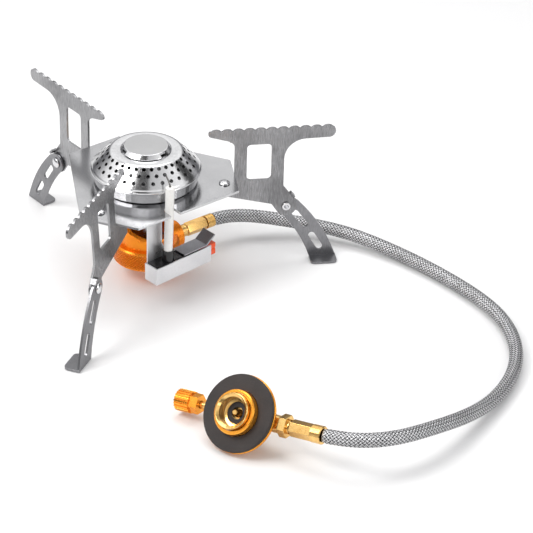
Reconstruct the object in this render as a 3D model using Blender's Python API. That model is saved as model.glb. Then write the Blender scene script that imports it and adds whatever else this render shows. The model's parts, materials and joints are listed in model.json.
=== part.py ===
"""Remote-canister camping stove: three folding pot supports on a plate, a burner head,
a piezo igniter, and a braided hose to the canister valve. Metres, +Z up.

The burner's axis is at x = y = 0 of the stove's own root empty. The root is moved so that
the world origin is under the middle of the stove's footprint.
"""

import math

import bmesh
import bpy
from mathutils import Matrix, Vector

mm = 0.001

for old in list(bpy.data.objects):
    bpy.data.objects.remove(old, do_unlink=True)

# Fits
gap = 0.3 * mm                   # between faces that touch
running = 0.1 * mm               # round a shank that turns

# Layout round the burner's axis
arm_start = math.radians(9.5)    # the first arm, counter-clockwise from +X
arm_step = math.radians(120)
footprint_middle = (0.017209, -0.009923)

# Sheet parts
sheet = 1.3 * mm
plate_thick = 1.4 * mm
plate_top = 59.5 * mm
plate_side = 40.2 * mm           # from the axis to each long side
plate_end = 50.0 * mm            # from the axis to each cut corner
hinge_r = 43.0 * mm              # arm rivet, along the arm
hinge_t = -8.8 * mm              # arm rivet, across the arm
support_t = 3.4 * mm             # middle of the support's sheet, across the arm
lean = (0, 0, math.radians(3.4)) # right, left and front sheets, leaning in at the top

# Pot support profile, as distance from the axis and height
bar_top = 87.0 * mm
bar_inner = 35.2 * mm
bar_outer = 107.4 * mm
bar_low = 79.0 * mm
teeth = 11
tooth_deep = 1.5 * mm
post_in = 50.2 * mm
post_out = 78.4 * mm
window_in = 57.2 * mm
window_out = 71.2 * mm
window_low = 54.1 * mm
window_high = 76.7 * mm
toe_in = 36.5 * mm
knee_r = 80.3 * mm               # leg rivet
knee_z = 36.0 * mm
lug = 6.2 * mm

# Folding leg
foot_in = 94.8 * mm
foot_out = 110.0 * mm
foot_wide = 9.6 * mm
slot_wide = 3.9 * mm
rivet_shank = 1.6 * mm
rivet_head = 3.1 * mm

# Burner head
rim = 31.0 * mm
rim_z = 68.2 * mm
shoulder = 19.6 * mm
shoulder_z = 79.5 * mm
disc = 12.2 * mm
disc_top = 82.0 * mm
pan = 28.9 * mm
wall = 0.9 * mm
tube_out = 8.3 * mm
tube_low = 26.0 * mm
port = 1.0 * mm
ports_round = 20

# Cup and jet
cup = 18.5 * mm
cup_low = 10.0 * mm
cup_band = 21.7 * mm
cup_wall = 15.6 * mm
cup_thick = 2.3 * mm
screw = 0.6 * mm
screw_head = 1.5 * mm
ear_high = 32.3 * mm
ear_tongue = 2.1 * mm
feed_z = 17.2 * mm               # height of the gas inlet
boss = 8.0 * mm
boss_face = 21.5 * mm
inlet = 3.2 * mm

# Hose and its ends
hose = 7.8 * mm
barrel = 4.0 * mm
nut_face = 26.0 * mm
hose_start = 47.6 * mm

# Igniter
box_long = 40.3 * mm
box_wide = 10.0 * mm
box_low = 17.6 * mm
box_high = 27.8 * mm
box_side = 39.4 * mm             # its outer corner, from the axis
box_start = -21.6 * mm           # that corner, along the plate's side
box_yaw = math.radians(4.5)
box_sheet = 0.8 * mm
electrode = 2.5 * mm
boot_wall = 0.6 * mm
electrode_along = -10.4 * mm
electrode_in = 34.4 * mm
electrode_lean = (math.radians(1.3), math.radians(1.3))
electrode_top = 74.0 * mm
strap_x = 1.2 * mm
clip_x = 20.6 * mm
body_end = box_long - 9.0 * mm
button_z = (box_low + box_high) / 2 + 0.4 * mm

# Canister valve
valve_at = (0.0602, -0.1604, 0.0131)
valve_turn = math.radians(-32.0)
valve_rise = math.radians(8.0)
valve_tilt = math.radians(51.4)
flange = 20.8 * mm
flange_low = 5.2 * mm
flange_thick = 1.5 * mm
gasket_thick = 2.0 * mm
collar = 11.9 * mm
collar_high = 13.2 * mm
mouth = 9.7 * mm
mouth_high = 15.8 * mm
bore = 6.9 * mm
knob = 5.9 * mm
knob_long = 13.7 * mm
knob_face = -28.1 * mm
knob_hex = 5.0 * mm
stem = 1.9 * mm
valve_core = 4.7 * mm
valve_nut = 21.6 * mm
valve_barrel = 28.2 * mm
valve_sleeve = 41.0 * mm
valve_end = 47.5 * mm
valve_collar = 4.8 * mm

# The hose's own route, from the cup to the valve
hose_points = (
    (0.0472, 0.0373, 0.0165), (0.0605, 0.0414, 0.0139), (0.0745, 0.0427, 0.0113),
    (0.0886, 0.0419, 0.0096), (0.1019, 0.0396, 0.0086), (0.1159, 0.0352, 0.0075),
    (0.1292, 0.0286, 0.0061), (0.1429, 0.0197, 0.0050), (0.1564, 0.0087, 0.0045),
    (0.1690, -0.0037, 0.0043), (0.1819, -0.0181, 0.0043), (0.1939, -0.0346, 0.0043),
    (0.2010, -0.0497, 0.0043), (0.2051, -0.0673, 0.0043), (0.2057, -0.0832, 0.0043),
    (0.2023, -0.1017, 0.0043), (0.1953, -0.1187, 0.0045), (0.1857, -0.1351, 0.0061),
    (0.1719, -0.1536, 0.0108), (0.1547, -0.1730, 0.0173), (0.1363, -0.1874, 0.0209),
    (0.1185, -0.1917, 0.0215),
)

root = bpy.data.objects.new("stove_root", None)
bpy.context.scene.collection.objects.link(root)
root.location = (-footprint_middle[0], -footprint_middle[1], 0)


def material(name, color, metallic, roughness):
    made = bpy.data.materials.new(name)
    made.use_nodes = True
    shader = made.node_tree.nodes["Principled BSDF"]
    shader.inputs["Base Color"].default_value = (*color, 1)
    shader.inputs["Metallic"].default_value = metallic
    shader.inputs["Roughness"].default_value = roughness
    return made


finishes = {
    "steel": ((0.45, 0.46, 0.48), 1.0, 0.32),
    "dark_steel": ((0.16, 0.16, 0.17), 1.0, 0.4),
    "burner_steel": ((0.72, 0.72, 0.72), 1.0, 0.25),
    "orange": ((0.9, 0.3, 0.02), 0.8, 0.3),
    "brass": ((0.83, 0.58, 0.22), 1.0, 0.22),
    "rubber": ((0.05, 0.045, 0.045), 0.0, 0.6),
    "black": ((0.02, 0.02, 0.02), 0.0, 0.35),
    "ceramic": ((0.9, 0.9, 0.88), 0.0, 0.25),
    "button": ((0.9, 0.13, 0.03), 0.0, 0.4),
    "braid": ((0.6, 0.6, 0.62), 1.0, 0.35),
}


def add(name, mesh, finish, place=None, parent=root, smooth=True):
    """Links one named piece under its parent, with a material of its own."""
    obj = bpy.data.objects.new(name, mesh)
    bpy.context.scene.collection.objects.link(obj)
    obj.parent = parent
    obj.matrix_local = place or Matrix()
    obj.data.materials.append(material(name, *finishes[finish]))
    if smooth:
        mesh.shade_smooth()
        mesh.set_sharp_from_angle(angle=math.radians(35))
    return obj


def closed_mesh(bm, name):
    bmesh.ops.recalc_face_normals(bm, faces=bm.faces)
    mesh = bpy.data.meshes.new(name)
    bm.to_mesh(mesh)
    bm.free()
    return mesh


def prism(name, outline, low, high):
    """The flat outline in X and Y, raised from low to high."""
    bm = bmesh.new()
    face = bm.faces.new([bm.verts.new((x, y, low)) for x, y in outline])
    raised = bmesh.ops.extrude_face_region(bm, geom=[face])
    top = [v for v in raised["geom"] if isinstance(v, bmesh.types.BMVert)]
    bmesh.ops.translate(bm, verts=top, vec=(0, 0, high - low))
    return closed_mesh(bm, name)


def turned(name, profile, steps=48):
    """A profile of radius and height, spun round Z. It is closed, or ends on the axis."""
    bm = bmesh.new()
    rings = []
    for radius, z in profile:
        if radius < 1e-7:
            rings.append([bm.verts.new((0, 0, z))])
            continue
        turns = [math.tau * k / steps for k in range(steps)]
        rings.append([bm.verts.new((radius * math.cos(a), radius * math.sin(a), z)) for a in turns])
    pairs = list(zip(rings, rings[1:]))
    if len(rings[0]) + len(rings[-1]) > 2:
        pairs.append((rings[-1], rings[0]))
    for one, two in pairs:
        for k in range(steps):
            n = (k + 1) % steps
            corners = [one[k % len(one)], one[n % len(one)], two[n % len(two)], two[k % len(two)]]
            corners = [v for i, v in enumerate(corners) if v not in corners[:i]]
            if len(corners) > 2:
                bm.faces.new(corners)
    return closed_mesh(bm, name)


def block(name, low, high):
    outline = [(low[0], low[1]), (high[0], low[1]), (high[0], high[1]), (low[0], high[1])]
    return prism(name, outline, low[2], high[2])


def shape(obj, mesh, operation="DIFFERENCE", place=None):
    """Cuts, joins or keeps only what is inside a hidden helper solid."""
    helper = bpy.data.objects.new(f"{obj.name}_{mesh.name}", mesh)
    bpy.context.scene.collection.objects.link(helper)
    helper.parent = obj
    helper.matrix_local = place or Matrix()
    helper.hide_render = True
    helper.display_type = "WIRE"
    modifier = obj.modifiers.new(mesh.name, "BOOLEAN")
    modifier.operation = operation
    modifier.solver = "EXACT"
    modifier.object = helper
    return obj


def arc(middle, radius, start, end, steps):
    """Points along an arc, with both ends. Angles in degrees."""
    turns = [math.radians(start + (end - start) * k / steps) for k in range(steps + 1)]
    return [(middle[0] + radius * math.cos(a), middle[1] + radius * math.sin(a)) for a in turns]


def bowed(start, end, rise, steps):
    """Points from start to end along a shallow arc that stands rise to the left of the chord."""
    along = Vector(end) - Vector(start)
    left = Vector((-along.y, along.x)).normalized()
    shares = [k / steps for k in range(steps + 1)]
    return [tuple(Vector(start) + along * s + left * rise * 4 * s * (1 - s)) for s in shares]


def rounded_rectangle(x0, y0, x1, y1, radius, steps=4):
    return (arc((x1 - radius, y0 + radius), radius, -90, 0, steps)
            + arc((x1 - radius, y1 - radius), radius, 0, 90, steps)
            + arc((x0 + radius, y1 - radius), radius, 90, 180, steps)
            + arc((x0 + radius, y0 + radius), radius, 180, 270, steps))


def circle(radius, steps, middle=(0, 0)):
    return arc(middle, radius, 0, 360 - 360 / steps, steps - 1)


def slot(start, end, wide, steps=6):
    """A round-ended slot's outline from the middle of one end to the other."""
    turn = math.degrees(math.atan2(end[1] - start[1], end[0] - start[0]))
    return (arc(end, wide / 2, turn - 90, turn + 90, steps)
            + arc(start, wide / 2, turn + 90, turn + 270, steps))


def turn_z(angle):
    return Matrix.Rotation(angle, 4, "Z")


# A flat part drawn in X and Y, stood up so that its Y becomes height and its thickness
# runs along -Y, from the face towards the clockwise side.
upright = Matrix.Rotation(math.radians(90), 4, "X")


def leaning(angle):
    """Tips an upright sheet about the arm, at the height of the plate."""
    middle = Matrix.Translation((0, support_t - hinge_t, plate_top))
    return middle @ Matrix.Rotation(angle, 4, "X") @ middle.inverted()


def along_axis(x, y, z, direction):
    """Puts a part's own Z along a direction, at a place."""
    turn = Vector(direction).to_track_quat("Z", "Y").to_matrix().to_4x4()
    return Matrix.Translation((x, y, z)) @ turn


# Main plate
def plate_outline(side, end):
    """A triangle's long sides at one distance from the axis, its corners cut at another."""
    half = (side - end / 2) / math.sin(math.radians(60))
    points = []
    for k in range(3):
        angle = arm_start + k * arm_step
        for across in (-half, half):
            points.append((end * math.cos(angle) - across * math.sin(angle),
                           end * math.sin(angle) + across * math.cos(angle)))
    return points


def side_frame():
    """The long side that carries the igniter: X along it, Y towards the axis, at the axis."""
    return turn_z(arm_start + math.radians(30))


def arm_frame(k):
    return turn_z(arm_start + k * arm_step)


def make_plate():
    plate = add("main_plate", prism("plate", plate_outline(plate_side, plate_end),
                                    plate_top - plate_thick, plate_top), "steel", smooth=False)
    low, high = plate_top - 5 * mm, plate_top + 5 * mm
    shape(plate, prism("throat", circle(tube_out + 2 * gap, 32), low, high))
    for k in range(3):
        hole = prism(f"rivet_{k}", circle(rivet_shank + running, 16, (hinge_r, hinge_t)), low, high)
        shape(plate, hole, place=arm_frame(k))
    passing = side_frame().inverted() @ electrode_frame() @ Vector((0, 0, plate_top - box_high))
    notch = slot((passing.x, passing.y), (passing.x, -plate_side - 9 * mm), 2 * (electrode + 2 * gap))
    shape(plate, prism("electrode_notch", notch, low, high), place=side_frame())
    for k, along in enumerate((-1, 1)):
        sink = [(0, low), (screw + running, low), (screw + running, plate_top - 0.8 * mm),
                (screw_head + running, plate_top - 0.8 * mm), (screw_head + running, high), (0, high)]
        shape(plate, turned(f"cup_screw_{k}", sink, 14),
              place=feed_frame() @ Matrix.Translation((along * cup_screw_at(), 0, 0)))
    return plate


def feed_frame():
    """X along the gas inlet, which leaves square to the second arm."""
    return turn_z(arm_start + math.radians(30))


def cup_screw_at():
    return cup_wall - cup_thick / 2 - 0.2 * mm


# Pot supports
def tooth_edge():
    """The serrated top, from the outer end to the inner end."""
    pitch = (bar_outer - 1.4 * mm - bar_inner - 1.2 * mm) / teeth
    start = bar_outer - 1.4 * mm
    points = []
    for k in range(teeth):
        for step in range(6):
            share = step / 5 * 0.94 + 0.03
            drop = tooth_deep * abs(2 * share - 1) ** 2.6
            points.append((start - (k + share) * pitch, bar_top - drop))
    return points


def support_outline():
    under = plate_top - plate_thick - gap
    corner = 12.4 * mm
    lower = (71.8 * mm, 37.7 * mm)
    points = tooth_edge()
    points += arc((bar_inner + 1.9 * mm, bar_top - 2.6 * mm), 1.9 * mm, 110, 250, 5)
    points += [(bar_inner + 12.0 * mm, bar_low + 0.4 * mm)]
    points += arc((post_in - 3.6 * mm, bar_low - 3.6 * mm), 3.6 * mm, 80, 0, 4)
    points += [(post_in, under), (toe_in, under), (toe_in, 46.5 * mm), lower]
    points += arc((knee_r, knee_z), lug, 205, 390, 10)
    points += [(post_out, 49.2 * mm)]
    points += arc((post_out + corner, bar_low - corner), corner, 180, 92, 7)
    points += arc((bar_outer - 3.8 * mm, bar_low + 4.0 * mm), 3.8 * mm, -80, 40, 6)
    return points


def make_support(name, k):
    """One upright sheet with a tab bent under the plate. Its origin is its rivet's axis."""
    place = arm_frame(k) @ Matrix.Translation((hinge_r, hinge_t, 0))
    across = support_t - hinge_t
    stand = leaning(lean[k]) @ Matrix.Translation((-hinge_r, across + sheet / 2, 0)) @ upright
    mesh = prism("sheet", support_outline(), 0, sheet)
    mesh.transform(stand)
    support = add(name, mesh, "steel", place, smooth=False)
    window = rounded_rectangle(window_in, window_low, window_out, window_high, 2.2 * mm)
    shape(support, prism("window", window, -5 * mm, 5 * mm), place=stand)
    hole = prism("leg_hole", circle(rivet_shank + running, 16, (knee_r, knee_z)), -5 * mm, 5 * mm)
    shape(support, hole, place=stand)
    top = plate_top - plate_thick - gap
    reach = 6.0 * mm
    tab = [(toe_in - hinge_r, across), (toe_in - hinge_r, 2.0 * mm)]
    tab += arc((0, 0), reach, 170, 370, 12)
    tab += [(post_in - 0.6 * mm - hinge_r, 2.0 * mm), (post_in - 0.6 * mm - hinge_r, across)]
    shape(support, prism("tab", tab, top - sheet, top), "UNION")
    shape(support, prism("pivot_hole", circle(rivet_shank + running, 16), top - 5 * mm, top + 5 * mm))
    stop = leg_stop()
    deep = sheet + gap + sheet
    shape(support, prism("stop", stop, -deep, sheet * 0.5), "UNION", stand)
    return support


def leg_stop():
    """A short lip on the sheet's outer slope, above the leg's heel."""
    start, end = Vector((post_out, 49.2 * mm)), heel()
    along = (end - start).normalized()
    left = Vector((-along.y, along.x))
    foot = end - along * 3.2 * mm + left * 0.3 * mm
    inner = foot - along * 3.4 * mm
    thick = left * -1.3 * mm
    return [tuple(foot), tuple(inner), tuple(inner + thick), tuple(foot + thick)]


def heel():
    return Vector((knee_r + 7.2 * mm, knee_z + 2.4 * mm))


# Legs
def leg_outline():
    """Round end on the rivet, a heel, and a curved strip down to the foot."""
    turns = arc((0, 0), 5.7 * mm, 50, 225, 12)
    high = sheet * 0.6
    inner = bowed((-4.03 * mm, -4.03 * mm), (foot_in - knee_r, high - knee_z), 2.0 * mm, 6)
    outer = bowed((foot_out - knee_r, high - knee_z), (7.0 * mm, 2.0 * mm), -2.4 * mm, 7)
    return turns + inner[1:] + outer


def make_leg(name, k, support):
    """A curved slotted strip whose foot is bent under. Its origin is its rivet's axis."""
    across = support_t - hinge_t + sheet / 2 + gap
    place = Matrix.Translation((knee_r - hinge_r, across + sheet, knee_z)) @ upright
    place = leaning(lean[k]) @ place
    leg = add(name, prism("strip", leg_outline(), 0, sheet), "dark_steel", place, support, False)
    x0, x1, round_by = foot_in - knee_r, foot_out - knee_r, 2.4 * mm
    toe = [(x1, 0), (x0, 0)]
    toe += arc((x0 + round_by, -foot_wide + round_by), round_by, 180, 270, 4)
    toe += arc((x1 - round_by, -foot_wide + round_by), round_by, 270, 360, 4)
    sole = Matrix.Translation((0, -knee_z, 0)) @ Matrix.Rotation(math.radians(-90) - lean[k], 4, "X")
    shape(leg, prism("foot", toe, 0, sheet), "UNION", sole)
    for label, start, end in (("upper", (5.6 * mm, -6.0 * mm), (11.4 * mm, -14.2 * mm)),
                              ("lower", (15.6 * mm, -21.2 * mm), (20.3 * mm, -29.2 * mm))):
        shape(leg, prism(f"{label}_slot", slot(start, end, slot_wide), -5 * mm, 5 * mm))
    shape(leg, prism("hole", circle(rivet_shank + running, 16), -5 * mm, 5 * mm))
    return leg


def rivet_profile(below, above, head, closed_end):
    """A dome above, a shank, and a flat or rolled end below. Z = 0 is the upper seat."""
    dome = [(head * math.sin(a), above + 1.4 * mm * math.cos(a))
            for a in (math.radians(d) for d in (0, 25, 50, 75, 90))]
    return (dome + [(head, above), (rivet_shank, above), (rivet_shank, below),
                    (closed_end, below), (closed_end * 0.92, below - 0.8 * mm), (0, below - 0.8 * mm)])


def make_rivets(name, k, support):
    top, under = plate_top + gap, plate_top - plate_thick - gap - sheet - gap
    place = arm_frame(k) @ Matrix.Translation((hinge_r, hinge_t, 0))
    add(f"{name}_arm_rivet", turned("rivet", rivet_profile(under, top, rivet_head, 2.7 * mm), 20),
        "burner_steel", place)
    across = support_t - hinge_t
    outer = across + sheet / 2 + gap + sheet + gap
    inner = across - sheet / 2 - gap
    turn = Matrix.Translation((knee_r - hinge_r, 0, knee_z)) @ Matrix.Rotation(math.radians(-90), 4, "X")
    turn = leaning(lean[k]) @ turn
    mesh = turned("rivet", rivet_profile(inner, outer, rivet_head, 2.6 * mm), 20)
    add(f"{name}_leg_rivet", mesh, "burner_steel", turn, support)


# Burner head
def make_burner():
    seat = plate_top + gap
    floor = seat + wall
    pan_top = rim_z - 1.5 * mm
    bowl = [(tube_out - 0.6 * mm, seat), (pan - 1.4 * mm, seat), (pan, seat + 1.4 * mm),
            (pan + 0.4 * mm, pan_top), (pan + 0.4 * mm - wall, pan_top),
            (pan - wall, seat + 1.6 * mm), (pan - 1.6 * mm, floor), (tube_out - 0.6 * mm, floor)]
    bowl_mesh = turned("bowl", bowl, 56)
    add("burner_pan", bowl_mesh, "burner_steel")

    bottom = seat - gap
    tube = [(tube_out - 1.2 * mm, tube_low), (tube_out, tube_low), (tube_out, bottom),
            (tube_out - 1.0 * mm, bottom), (tube_out - 1.0 * mm, floor + 4 * mm),
            (tube_out - 1.8 * mm, floor + 4 * mm), (tube_out - 1.8 * mm, bottom - 2 * mm),
            (tube_out - 1.2 * mm, bottom - 4 * mm)]
    add("mixing_tube", turned("tube", tube, 40), "steel")

    under = pan_top + gap
    skin = [(rim - 0.9 * mm, under), (rim, under + 0.9 * mm), (rim, rim_z + 0.9 * mm),
            (rim - 0.9 * mm, rim_z + 2.4 * mm), (shoulder + 0.6 * mm, shoulder_z - 0.4 * mm),
            (shoulder - 0.6 * mm, shoulder_z), (disc + 2.5 * mm, shoulder_z),
            (disc + 0.5 * mm, disc_top - 0.9 * mm), (9.5 * mm, disc_top - 0.9 * mm),
            (9.5 * mm, disc_top - 1.8 * mm), (disc - 0.2 * mm, disc_top - 1.8 * mm),
            (disc + 1.9 * mm, shoulder_z - wall), (shoulder - 0.9 * mm, shoulder_z - wall),
            (shoulder, shoulder_z - wall - 0.4 * mm), (rim - 1.6 * mm, rim_z + 1.6 * mm),
            (rim - 0.9 * mm, rim_z + 0.8 * mm)]
    cap = add("burner_cap", turned("skin", skin, 60), "burner_steel")
    shape(cap, ports_mesh())
    lid = [(0, disc_top), (disc - 0.5 * mm, disc_top), (disc, disc_top - 0.3 * mm),
           (disc, disc_top - 0.9 * mm + gap), (0, disc_top - 0.9 * mm + gap)]
    add("cap_disc", turned("lid", lid, 40), "burner_steel")


def ports_mesh():
    """Three staggered rings of six-sided pegs, square to the cap's slope."""
    slope = math.atan2(shoulder_z - rim_z - 2.4 * mm, rim - shoulder)
    bm = bmesh.new()
    for row, share in enumerate((0.28, 0.58, 0.88)):
        radius = rim - 0.9 * mm + (shoulder - rim + 0.9 * mm) * share
        z = rim_z + 2.4 * mm + (shoulder_z - rim_z - 2.4 * mm) * share - 0.4 * mm
        for k in range(ports_round):
            angle = math.tau * (k + 0.5 * (row % 2)) / ports_round
            place = (turn_z(angle) @ Matrix.Translation((radius, 0, z))
                     @ Matrix.Rotation(math.pi / 2 - slope, 4, "Y"))
            bmesh.ops.create_cone(bm, cap_ends=True, segments=6, radius1=port, radius2=port,
                                  depth=4 * mm, matrix=place)
    return closed_mesh(bm, "ports")


# Cup, jet and inlet
def make_cup():
    top = plate_top - plate_thick - gap
    low = cup_low
    inside = cup_wall - cup_thick
    wall_profile = [(inside, low + 2.4 * mm), (inside, top), (cup_wall, top), (cup_wall, cup_band),
                    (cup - 0.8 * mm, cup_band), (cup, cup_band - 0.8 * mm), (cup, low + 0.8 * mm),
                    (cup - 0.8 * mm, low), (0, low), (0, low + 2.4 * mm)]
    base = add("base_cup", turned("cup", wall_profile, 48), "orange", feed_frame())
    half = cup + 2 * mm
    dome = [(14.6 * mm * math.cos(a), cup_band + (ear_high - cup_band) * math.sin(a))
            for a in (math.radians(d) for d in range(0, 84, 12))]
    right = [(half, low - 2 * mm), (half, cup_band)] + dome + [(ear_tongue, ear_high + 1.5 * mm),
                                                              (ear_tongue, top + 2 * mm)]
    ears = right + [(-x, z) for x, z in reversed(right)]
    stand = turn_z(math.radians(90)) @ upright
    shape(base, prism("ears", ears, -30 * mm, 30 * mm), "INTERSECT", stand)
    to_face = along_axis(inside + 1.2 * mm, 0, feed_z, (1, 0, 0))
    round_boss = turned("boss", [(0, 0), (boss, 0), (boss, boss_face - inside - 1.2 * mm),
                                 (0, boss_face - inside - 1.2 * mm)], 28)
    shape(base, round_boss, "UNION", to_face)
    shape(base, turned("inlet", [(0, -20 * mm), (inlet, -20 * mm), (inlet, 20 * mm), (0, 20 * mm)], 24),
          place=along_axis(boss_face, 0, feed_z, (1, 0, 0)))
    shape(base, block("flat_under", (-30 * mm, -30 * mm, low - 9 * mm), (30 * mm, 30 * mm, low)))
    for k, along in enumerate((-1, 1)):
        shape(base, turned(f"screw_{k}", [(0, top - 7 * mm), (0.9 * mm, top - 7 * mm),
                                          (0.9 * mm, top + 1 * mm), (0, top + 1 * mm)], 10),
              place=Matrix.Translation((along * cup_screw_at(), 0, 0)))
    return base


def make_jet():
    """The brass block on the cup's floor, fed from the side, with the jet pointing up."""
    low = cup_low + 2.4 * mm + gap
    holder_top = feed_z + 4.2 * mm
    profile = [(0, low), (4.6 * mm, low), (4.6 * mm, holder_top - 0.5 * mm), (4.1 * mm, holder_top),
               (1.9 * mm, holder_top), (1.9 * mm, holder_top - 2.2 * mm), (0, holder_top - 2.2 * mm)]
    holder = add("jet_holder", turned("holder", profile, 24), "brass", feed_frame())
    shape(holder, turned("feed", [(0, 0), (2.3 * mm, 0), (2.3 * mm, 14.2 * mm), (0, 14.2 * mm)], 16),
          "UNION", along_axis(3 * mm, 0, feed_z, (1, 0, 0)))
    shape(holder, turned("way", [(0, 0), (0.9 * mm, 0), (0.9 * mm, 21 * mm), (0, 21 * mm)], 12),
          place=along_axis(-1.4 * mm, 0, feed_z, (1, 0, 0)))
    shape(holder, turned("rise", [(0, feed_z), (0.7 * mm, feed_z), (0.7 * mm, holder_top),
                                  (0, holder_top)], 10))
    seat = holder_top - 2.2 * mm + gap
    jet = [(0.35 * mm, seat), (1.6 * mm, seat), (1.6 * mm, holder_top + gap),
           (3.0 * mm, holder_top + gap), (3.0 * mm, holder_top + 1.8 * mm),
           (1.2 * mm, holder_top + 3.4 * mm), (0.35 * mm, holder_top + 3.4 * mm)]
    add("gas_jet", turned("jet", jet, 18), "brass", feed_frame())


def hexagon_band(name, radius, low, high, chamfer):
    """A six-sided length with chamfered ends, along Z."""
    outline = circle(radius, 6)
    bm = bmesh.new()
    rings = []
    for z, shrink in ((low, chamfer), (low + chamfer, 0), (high - chamfer, 0), (high, chamfer)):
        scale = (radius - shrink * 0.6) / radius
        rings.append([bm.verts.new((x * scale, y * scale, z)) for x, y in outline])
    bm.faces.new(rings[0])
    bm.faces.new(rings[-1])
    for one, two in zip(rings, rings[1:]):
        for k in range(6):
            n = (k + 1) % 6
            bm.faces.new([one[k], one[n], two[n], two[k]])
    return closed_mesh(bm, name)


def make_inlet_fitting():
    """The nut that screws into the cup, and the sleeve crimped on the hose."""
    place = feed_frame() @ along_axis(0, 0, feed_z, (1, 0, 0))
    nut = add("inlet_nut", turned("spigot", [(1.1 * mm, boss_face - 2.6 * mm),
                                             (inlet - running, boss_face - 2.6 * mm),
                                             (inlet - running, boss_face + gap),
                                             (barrel - 0.4 * mm, boss_face + gap),
                                             (barrel - 0.4 * mm, nut_face + 1.2 * mm),
                                             (barrel - 1.2 * mm, nut_face + 1.4 * mm),
                                             (barrel - 1.2 * mm, nut_face + 2.4 * mm),
                                             (1.1 * mm, nut_face + 2.4 * mm)], 28), "brass", place)
    shape(nut, hexagon_band("flats", barrel, nut_face + 2.0 * mm, hose_start - 6 * mm, 0.5 * mm),
          "UNION")
    shape(nut, turned("way", [(0, 0), (1.1 * mm, 0), (1.1 * mm, hose_start - 3 * mm),
                              (0, hose_start - 3 * mm)], 12))
    sleeve_low = hose_start - 6 * mm + gap
    sleeve = [(1.6 * mm, sleeve_low), (barrel, sleeve_low), (barrel, hose_start - gap - 0.4 * mm),
              (barrel - 0.4 * mm, hose_start - gap), (1.6 * mm, hose_start - gap)]
    add("inlet_sleeve", turned("sleeve", sleeve, 28), "brass", place)


# Hose
def smooth_route(points, step):
    """Evenly spaced points along a smooth curve through the route's own points."""
    knots = [Vector(p) for p in points]
    ends = [knots[0] * 2 - knots[1]] + knots + [knots[-1] * 2 - knots[-2]]
    fine = []
    for a, b, c, d in zip(ends, ends[1:], ends[2:], ends[3:]):
        for k in range(24):
            t = k / 24
            fine.append(0.5 * (2 * b + (c - a) * t + (2 * a - 5 * b + 4 * c - d) * t * t
                               + (3 * b - a - 3 * c + d) * t ** 3))
    fine.append(knots[-1])
    length = sum((b - a).length for a, b in zip(fine, fine[1:]))
    count = max(2, round(length / step))
    route, walked, target = [fine[0]], 0.0, length / count
    for a, b in zip(fine, fine[1:]):
        piece = (b - a).length
        while len(route) < count and walked + piece >= target * len(route):
            route.append(a.lerp(b, (target * len(route) - walked) / piece))
        walked += piece
    route.append(fine[-1])
    for _ in range(4):
        route[1:-1] = [(a + b * 2 + c) / 4 for a, b, c in zip(route, route[1:-1], route[2:])]
    lead_in = knots[0] + (knots[1] - knots[0]).normalized() * 1.2 * mm
    lead_out = knots[-1] + (knots[-2] - knots[-1]).normalized() * 1.2 * mm
    return [route[0], lead_in] + route[1:-1] + [lead_out, route[-1]]


def feed_direction():
    return (feed_frame() @ Vector((1, 0, 0))).normalized()


def hose_route():
    """The route with both ends squared up to the fittings that they leave."""
    out = feed_direction()
    start = out * hose_start + Vector((0, 0, feed_z))
    axis = valve_frame() @ Vector((valve_end, 0, 0))
    lead = valve_frame() @ Vector((valve_end + 5 * mm, 0, 0))
    return [start, start + out * 5 * mm] + [Vector(p) for p in hose_points] + [lead, axis]


def make_hose():
    route = smooth_route(hose_route(), hose * 0.75)
    curve = bpy.data.curves.new("gas_hose", "CURVE")
    curve.dimensions = "3D"
    curve.bevel_depth = hose / 2
    curve.bevel_resolution = 3
    curve.use_fill_caps = True
    line = curve.splines.new("POLY")
    line.points.add(len(route) - 1)
    for point, at in zip(line.points, route):
        point.co = (*at, 1)
    tube = bpy.data.objects.new("gas_hose", curve)
    bpy.context.scene.collection.objects.link(tube)
    tube.parent = root
    curve.materials.append(material("gas_hose", *finishes["braid"]))


# Igniter
def igniter_frame():
    """X along the box towards its button, Y across it towards the burner, from its corner."""
    return side_frame() @ Matrix.Translation((box_start, -box_side, 0)) @ turn_z(box_yaw)


def electrode_frame():
    """The ceramic's own foot, leaning a little to the right and back."""
    foot = side_frame() @ Matrix.Translation((electrode_along, -electrode_in, box_high))
    upright_foot = Matrix.Translation(foot.translation)
    about_x = Matrix.Rotation(-electrode_lean[1], 4, "X")
    return upright_foot @ Matrix.Rotation(electrode_lean[0], 4, "Y") @ about_x


def make_igniter_box():
    place = igniter_frame()
    y1, under = box_wide, plate_top - plate_thick - gap
    tray = add("igniter_bracket", block("floor", (0, 0, box_low), (box_long, y1, box_low + box_sheet)),
               "steel", place, smooth=False)
    shape(tray, block("front", (0, 0, box_low), (box_long, box_sheet, box_high)), "UNION")
    shape(tray, block("back", (0, y1 - box_sheet, box_low), (box_long, y1, box_high)), "UNION")
    shape(tray, block("end", (0, 0, box_low), (box_sheet, y1, box_high)), "UNION")
    strap = [(strap_x, box_high - 3 * mm), (strap_x + 17 * mm, box_high - 3 * mm),
             (strap_x + 10.5 * mm, box_high + 9 * mm), (strap_x + 10.5 * mm, under), (strap_x, under)]
    flat = Matrix.Translation((0, y1, 0)) @ upright
    shape(tray, boot_seat(), place=Matrix.Translation(electrode_foot(place)))
    shape(tray, prism("strap", strap, 0, box_sheet), "UNION", flat)
    shape(tray, block("strap_foot", (strap_x, y1 - 5 * mm, under - box_sheet),
                      (strap_x + 4.6 * mm, y1 - box_sheet / 2, under)), "UNION")


def electrode_foot(place):
    return (place.inverted() @ electrode_frame()).translation


def boot_seat():
    """The round seat of the electrode's boot, with room round it."""
    wide = electrode + boot_wall + gap
    return turned("boot_seat", [(0, -1.6 * mm), (wide, -1.6 * mm), (wide, 9 * mm), (0, 9 * mm)], 20)


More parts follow.
